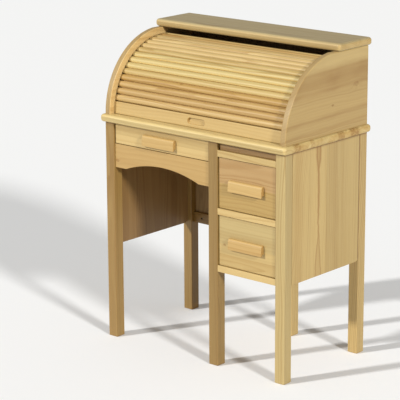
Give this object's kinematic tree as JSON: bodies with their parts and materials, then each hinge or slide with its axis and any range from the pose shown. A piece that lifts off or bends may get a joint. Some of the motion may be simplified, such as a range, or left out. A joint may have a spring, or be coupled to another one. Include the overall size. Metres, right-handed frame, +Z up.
{
  "type": "roll top desk",
  "caption": "Small pine roll top desk: slatted curtain top over a writing surface, arched kneehole with pencil drawer, pedestal with drawers and a pull-out shelf.",
  "frame": {"origin": "on the floor under the middle of the desktop's outline", "axes": "+Z up; the front, with drawers and lift rail, faces -Y; the drawer pedestal is on the +X side"},
  "size_m": [0.67, 0.383, 0.902],
  "materials": {
    "pine": "satin lacquer",
    "pine_tops": "satin lacquer",
    "pine_slats": "satin lacquer",
    "pine_drawers": "satin lacquer",
    "pine_handles": "satin lacquer",
    "pine_dark": "satin lacquer",
    "plywood": "matt",
    "canvas": "matt weave",
    "steel": "zinc plated"
  },
  "bodies": {
    "carcass": {"apron": "pine", "cross_dowels": "steel", "desktop": "pine_tops", "false_back": "pine", "kneehole_back_panel": "plywood", "kneehole_back_rail": "pine", "leg_back_left": "pine", "leg_back_middle": "pine", "leg_back_right": "pine", "leg_front_left": "pine", "leg_front_middle": "pine", "leg_front_right": "pine", "pedestal_back_panel": "plywood", "pedestal_back_rail": "pine", "pedestal_inner_panel": "pine", "pedestal_runners": "pine", "pencil_runners": "pine", "rail_lower": "pine", "rail_middle": "pine", "rail_upper": "pine", "roll_back_panel": "plywood", "roll_side_left": "pine", "roll_side_right": "pine", "side_panel_left": "pine", "side_panel_right": "pine", "top_board": "pine_tops"},
    "pencil_drawer": {"pencil_drawer_back": "pine_drawers", "pencil_drawer_bottom": "plywood", "pencil_drawer_front": "pine_drawers", "pencil_drawer_handle": "pine_handles", "pencil_drawer_sides": "pine_drawers"},
    "upper_drawer": {"upper_drawer_back": "pine_drawers", "upper_drawer_bottom": "plywood", "upper_drawer_front": "pine_drawers", "upper_drawer_handle": "pine_handles", "upper_drawer_sides": "pine_drawers"},
    "lower_drawer": {"lower_drawer_back": "pine_drawers", "lower_drawer_bottom": "plywood", "lower_drawer_front": "pine_drawers", "lower_drawer_handle": "pine_handles", "lower_drawer_sides": "pine_drawers"},
    "writing_shelf": {"writing_shelf": "pine_dark"},
    "roll_front": {"lift_rail": "pine", "canvas_front": "canvas", "slat_01": "pine_slats", "slat_02": "pine_slats", "slat_03": "pine_slats", "slat_04": "pine_slats", "slat_05": "pine_slats"},
    "tail_06": {"slat_06": "pine_slats"},
    "tail_07": {"slat_07": "pine_slats"},
    "tail_08": {"slat_08": "pine_slats"},
    "tail_09": {"slat_09": "pine_slats"},
    "tail_10": {"slat_10": "pine_slats"},
    "tail_11": {"slat_11": "pine_slats"},
    "tail_12": {"slat_12": "pine_slats"},
    "tail_13": {"slat_13": "pine_slats"},
    "tail_14": {"slat_14": "pine_slats"},
    "tail_15": {"slat_15": "pine_slats"}
  },
  "joints": [
    {"name": "pencil_drawer_slide", "type": "slide", "parent": "carcass", "child": "pencil_drawer", "axis": [0, -1, 0], "range_m": [0, 0.23]},
    {"name": "upper_drawer_slide", "type": "slide", "parent": "carcass", "child": "upper_drawer", "axis": [0, -1, 0], "range_m": [0, 0.23]},
    {"name": "lower_drawer_slide", "type": "slide", "parent": "carcass", "child": "lower_drawer", "axis": [0, -1, 0], "range_m": [0, 0.23]},
    {"name": "writing_shelf_slide", "type": "slide", "parent": "carcass", "child": "writing_shelf", "axis": [0, -1, 0], "range_m": [0, 0.2]},
    {"name": "roll_top", "type": "hinge", "parent": "carcass", "child": "roll_front", "pos_m": [0, 0.0425, 0.66], "axis": [-1, 0, 0], "range_deg": [0, 70]},
    {"name": "tail_06_turn", "type": "hinge", "parent": "carcass", "child": "tail_06", "pos_m": [0, 0.03869, 0.66361], "axis": [-1, 0, 0], "range_deg": [0, 72.4]},
    {"name": "tail_07_turn", "type": "hinge", "parent": "carcass", "child": "tail_07", "pos_m": [0, 0.03684, 0.6691], "axis": [-1, 0, 0], "range_deg": [0, 74.1]},
    {"name": "tail_08_turn", "type": "hinge", "parent": "carcass", "child": "tail_08", "pos_m": [0, 0.03473, 0.67733], "axis": [-1, 0, 0], "range_deg": [0, 77]},
    {"name": "tail_09_turn", "type": "hinge", "parent": "carcass", "child": "tail_09", "pos_m": [0, 0.03201, 0.69163], "axis": [-1, 0, 0], "range_deg": [0, 82.8]},
    {"name": "tail_10_turn", "type": "hinge", "parent": "carcass", "child": "tail_10", "pos_m": [0, 0.03084, 0.70488], "axis": [-1, 0, 0], "range_deg": [0, 89.1]},
    {"name": "tail_11_turn", "type": "hinge", "parent": "carcass", "child": "tail_11", "pos_m": [0, 0.03109, 0.71588], "axis": [-1, 0, 0], "range_deg": [0, 94.9]},
    {"name": "tail_12_turn", "type": "hinge", "parent": "carcass", "child": "tail_12", "pos_m": [0, 0.03252, 0.72265], "axis": [-1, 0, 0], "range_deg": [0, 99.3]},
    {"name": "tail_13_turn", "type": "hinge", "parent": "carcass", "child": "tail_13", "pos_m": [0, 0.03518, 0.7289], "axis": [-1, 0, 0], "range_deg": [0, 104.2]},
    {"name": "tail_14_turn", "type": "hinge", "parent": "carcass", "child": "tail_14", "pos_m": [0, 0.04089, 0.73305], "axis": [-1, 0, 0], "range_deg": [0, 109.9]},
    {"name": "tail_15_turn", "type": "hinge", "parent": "carcass", "child": "tail_15", "pos_m": [0, 0.04709, 0.73843], "axis": [-1, 0, 0], "range_deg": [0, 116]}
  ],
  "couplings": [
    {"joint": "tail_06_turn", "follows": "roll_top", "ratio": 1.0257},
    {"joint": "tail_07_turn", "follows": "roll_top", "ratio": 1.0506},
    {"joint": "tail_08_turn", "follows": "roll_top", "ratio": 1.0908},
    {"joint": "tail_09_turn", "follows": "roll_top", "ratio": 1.1749},
    {"joint": "tail_10_turn", "follows": "roll_top", "ratio": 1.2639},
    {"joint": "tail_11_turn", "follows": "roll_top", "ratio": 1.3471},
    {"joint": "tail_12_turn", "follows": "roll_top", "ratio": 1.4107},
    {"joint": "tail_13_turn", "follows": "roll_top", "ratio": 1.4802},
    {"joint": "tail_14_turn", "follows": "roll_top", "ratio": 1.5609},
    {"joint": "tail_15_turn", "follows": "roll_top", "ratio": 1.649}
  ]
}
